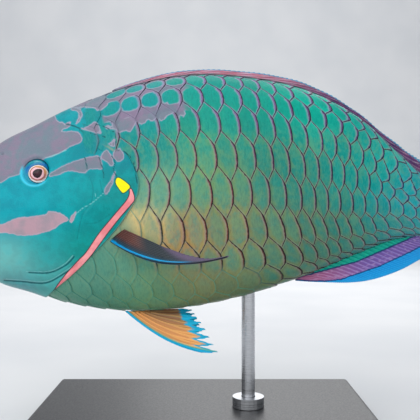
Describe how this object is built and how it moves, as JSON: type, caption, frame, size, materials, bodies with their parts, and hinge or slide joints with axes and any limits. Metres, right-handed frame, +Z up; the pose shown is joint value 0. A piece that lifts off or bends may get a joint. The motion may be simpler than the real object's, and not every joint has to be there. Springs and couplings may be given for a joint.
{
  "type": "stoplight parrotfish display model",
  "caption": "Life-size still model of a parrotfish swimming with its tail swung aside, held over a flat display base by a short rod.",
  "frame": {"origin": "middle of the display base's flat underside, under the fish", "axes": "+X towards the tail, +Y away from the left flank and towards the side the tail is swung to, +Z up"},
  "size_m": [0.3973, 0.2363, 0.2136],
  "materials": {
    "head_skin": "smooth wet skin, turquoise with mauve crown and cheek bands",
    "scaled_skin": "large overlapping scales, green to turquoise, each edged with mauve or maroon",
    "tail_fin": "rayed fin, yellow spot at the base, teal middle, salmon crescent, blue edges",
    "dorsal_fin": "folded rayed fin, salmon with a pale blue edge",
    "anal_fin": "rayed fin, green base, pink-violet middle, bright blue margin",
    "pectoral_fin": "dark rayed fin with a bright blue line and a violet tip",
    "pelvic_fin": "orange rayed fin with a blue leading edge",
    "beak": "pale fused teeth, faintly blue-green",
    "eye": "clear domed eye with salmon and white rings round a dark pupil",
    "stand_black": "satin black board",
    "stand_steel": "brushed round bar"
  },
  "bodies": {
    "root": {"head": "head_skin", "gill_cover_left": "head_skin", "gill_cover_right": "head_skin", "trunk": "scaled_skin", "tail_stalk": "scaled_skin", "tail_fin": "tail_fin", "dorsal_fin": "dorsal_fin", "anal_fin": "anal_fin", "pectoral_fin_left": "pectoral_fin", "pectoral_fin_right": "pectoral_fin", "pelvic_fin_left": "pelvic_fin", "pelvic_fin_right": "pelvic_fin", "beak_upper": "beak", "beak_lower": "beak", "eye_left": "eye", "eye_right": "eye", "stand_base": "stand_black", "stand_rod": "stand_steel", "stand_collar": "stand_steel"}
  },
  "joints": []
}
